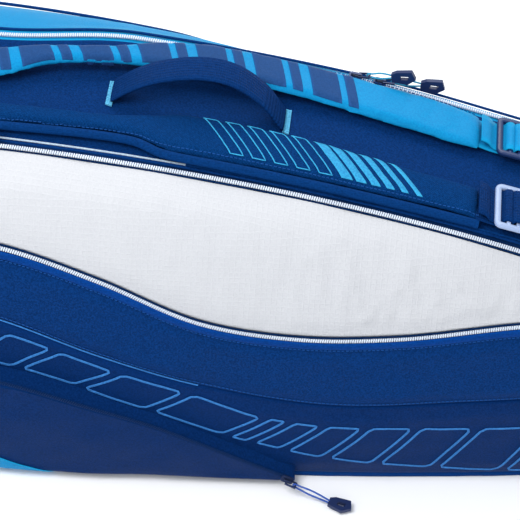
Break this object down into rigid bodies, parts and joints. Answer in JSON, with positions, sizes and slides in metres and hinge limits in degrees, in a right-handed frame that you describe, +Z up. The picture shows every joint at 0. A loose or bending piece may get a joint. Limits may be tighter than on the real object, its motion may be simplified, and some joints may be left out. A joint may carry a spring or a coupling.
{
  "type": "racket tournament bag",
  "caption": "Long padded racket bag with zipped front and rear compartments, an accessory flap and pocket, a carry handle and shoulder straps.",
  "frame": {"origin": "middle of the bag's length at floor level, on the plane of the centre divider", "axes": "+X along the bag towards the racket handles' end, -Y to the front face, +Z up"},
  "size_m": [0.7724, 0.3401, 0.379],
  "materials": {
    "navy_twill": "matte woven polyester",
    "navy_mesh": "fine spacer mesh",
    "white_ripstop": "coated ripstop, low sheen",
    "light_blue_fabric": "smooth coated polyester",
    "royal_blue_tape": "woven binding tape",
    "zip_tape": "woven zipper tape",
    "zip_coil": "nylon coil",
    "piping_light": "reflective piping",
    "board": "polyethylene sheet",
    "lining": "plain lining cloth",
    "webbing": "woven webbing",
    "buckle": "moulded acetal, satin",
    "slider_metal": "painted die casting",
    "cord_blue": "braided cord",
    "pull_tab": "moulded rubber tab"
  },
  "bodies": {
    "core": {"base_panel": "navy_twill", "base_stiffener": "board", "centre_divider": "lining", "spine_panel": "navy_twill", "head_end_panel": "navy_twill", "handle_end_panel": "navy_twill", "front_zip_spine_tape": "zip_tape", "rear_zip_spine_tape": "light_blue_fabric", "front_zip_coil": "zip_coil", "rear_zip_coil": "zip_coil", "front_piping": "piping_light", "handle_bartacks": "light_blue_fabric", "strap_yoke": "navy_twill", "front_anchor_web": "webbing", "rear_anchor_web": "light_blue_fabric"},
    "front_cover": {"white_panel": "white_ripstop", "front_cover_ends": "navy_twill", "front_inner_wall": "lining", "front_zip_cover_tape": "zip_tape"},
    "front_flap": {"wave_zip_tape": "royal_blue_tape", "wave_zip_coil": "zip_coil", "front_upper_panel": "navy_twill", "front_lower_panel": "navy_twill", "pocket_zip": "royal_blue_tape"},
    "pocket_flap": {"pocket_panel": "navy_twill"},
    "rear_cover": {"rear_panel": "light_blue_fabric", "rear_zip_cover_tape": "light_blue_fabric", "rear_piping": "royal_blue_tape"},
    "handle": {"handle_webbing": "webbing"},
    "front_strap": {"front_strap_pad": "navy_mesh", "front_strap_binding": "royal_blue_tape", "front_strap_loop": "webbing"},
    "rear_strap": {"rear_strap_pad": "light_blue_fabric", "rear_strap_loop": "light_blue_fabric"},
    "front_lock": {"front_ladder_lock": "buckle", "front_web_tail": "webbing"},
    "rear_lock": {"rear_ladder_lock": "buckle", "rear_web_tail": "light_blue_fabric"},
    "front_head_slider_body": {"front_head_slider": "slider_metal"},
    "front_head_pull": {"front_head_pull_cord": "cord_blue", "front_head_pull_tab": "pull_tab"},
    "front_tail_slider_body": {"front_tail_slider": "slider_metal"},
    "front_tail_pull": {"front_tail_pull_cord": "cord_blue", "front_tail_pull_tab": "pull_tab"},
    "rear_left_slider_body": {"rear_left_slider": "slider_metal"},
    "rear_left_pull": {"rear_left_pull_cord": "cord_blue", "rear_left_pull_tab": "pull_tab"},
    "rear_right_slider_body": {"rear_right_slider": "slider_metal"},
    "rear_right_pull": {"rear_right_pull_cord": "cord_blue", "rear_right_pull_tab": "pull_tab"},
    "wave_slider_body": {"wave_slider": "slider_metal"},
    "wave_pull": {"wave_pull_cord": "cord_blue", "wave_pull_tab": "pull_tab"},
    "pocket_slider_body": {"pocket_slider": "slider_metal"},
    "pocket_pull": {"pocket_pull_cord": "cord_blue", "pocket_pull_tab": "pull_tab"}
  },
  "joints": [
    {"name": "front_cover_open", "type": "hinge", "parent": "core", "child": "front_cover", "pos_m": [-0.25, -0.152, 0.007], "axis": [0.9969, 0.0781, 0], "range_deg": [0, 25]},
    {"name": "front_flap_open", "type": "hinge", "parent": "front_cover", "child": "front_flap", "pos_m": [-0.25, -0.152, 0.007], "axis": [0.9969, 0.0781, 0], "range_deg": [0, 15]},
    {"name": "pocket_open", "type": "hinge", "parent": "front_flap", "child": "pocket_flap", "pos_m": [-0.33, -0.1465, 0.024], "axis": [-0.9993, -0.0373, 0], "range_deg": [-12, 0]},
    {"name": "rear_cover_open", "type": "hinge", "parent": "core", "child": "rear_cover", "pos_m": [-0.25, 0.164, 0.007], "axis": [-0.994, 0.1093, 0], "range_deg": [0, 25]},
    {"name": "handle_swing", "type": "hinge", "parent": "core", "child": "handle", "pos_m": [-0.134, 0.004, 0.33554], "axis": [-0.9942, 0, 0.1076], "range_deg": [-30, 30]},
    {"name": "front_strap_lift", "type": "hinge", "parent": "core", "child": "front_strap", "pos_m": [-0.32, -0.05, 0.34197], "axis": [0, -1, 0], "range_deg": [0, 8]},
    {"name": "rear_strap_lift", "type": "hinge", "parent": "core", "child": "rear_strap", "pos_m": [-0.32, 0.01, 0.34197], "axis": [0, 1, 0], "range_deg": [-8, 0]},
    {"name": "front_lock_tilt", "type": "hinge", "parent": "front_strap", "child": "front_lock", "pos_m": [0.20495, -0.049, 0.29118], "axis": [0, -1, 0], "range_deg": [0, 35]},
    {"name": "rear_lock_tilt", "type": "hinge", "parent": "rear_strap", "child": "rear_lock", "pos_m": [0.20495, 0.041, 0.29118], "axis": [0, 1, 0], "range_deg": [-35, 0]},
    {"name": "front_head_travel", "type": "hinge", "parent": "core", "child": "front_head_slider_body", "pos_m": [-0.295, -0.08, -1.648], "axis": [0, 1, 0], "range_deg": [0, 7]},
    {"name": "front_tail_travel", "type": "hinge", "parent": "core", "child": "front_tail_slider_body", "pos_m": [-0.295, -0.08, -1.648], "axis": [0, 1, 0], "range_deg": [-7, 0]},
    {"name": "rear_left_travel", "type": "hinge", "parent": "core", "child": "rear_left_slider_body", "pos_m": [-0.32, 0.08, -1.96], "axis": [0, 1, 0], "range_deg": [-5, 0]},
    {"name": "rear_right_travel", "type": "hinge", "parent": "core", "child": "rear_right_slider_body", "pos_m": [-0.32, 0.08, -1.96], "axis": [0, 1, 0], "range_deg": [0, 4]},
    {"name": "wave_travel", "type": "slide", "parent": "front_flap", "child": "wave_slider_body", "axis": [0.9802, 0.196, 0.0294], "range_m": [-0.06, 0]},
    {"name": "pocket_travel", "type": "slide", "parent": "front_flap", "child": "pocket_slider_body", "axis": [-0.8668, -0.116, 0.4849], "range_m": [0, 0.12]},
    {"name": "front_head_pull_swing", "type": "hinge", "parent": "front_head_slider_body", "child": "front_head_pull", "pos_m": [-0.27387, -0.08, 0.34513], "axis": [0, -1, 0], "range_deg": [0, 60]},
    {"name": "front_tail_pull_swing", "type": "hinge", "parent": "front_tail_slider_body", "child": "front_tail_pull", "pos_m": [0.27619, -0.08, 0.26165], "axis": [0, -1, 0], "range_deg": [0, 60]},
    {"name": "rear_left_pull_swing", "type": "hinge", "parent": "rear_left_slider_body", "child": "rear_left_pull", "pos_m": [0.08537, 0.07889, 0.31493], "axis": [-0.1203, -0.9925, -0.0195], "range_deg": [0, 60]},
    {"name": "rear_right_pull_swing", "type": "hinge", "parent": "rear_right_slider_body", "child": "rear_right_pull", "pos_m": [0.10755, 0.08, 0.30931], "axis": [0, -1, 0], "range_deg": [0, 60]},
    {"name": "wave_pull_swing", "type": "hinge", "parent": "wave_slider_body", "child": "wave_pull", "pos_m": [0.302, -0.10685, 0.203], "axis": [-0.9582, -0.2042, -0.2005], "range_deg": [0, 60]},
    {"name": "pocket_pull_swing", "type": "hinge", "parent": "pocket_slider_body", "child": "pocket_pull", "pos_m": [0.0525, -0.1528, 0.0146], "axis": [-0.2099, -0.9777, -0.0064], "range_deg": [0, 60]}
  ]
}
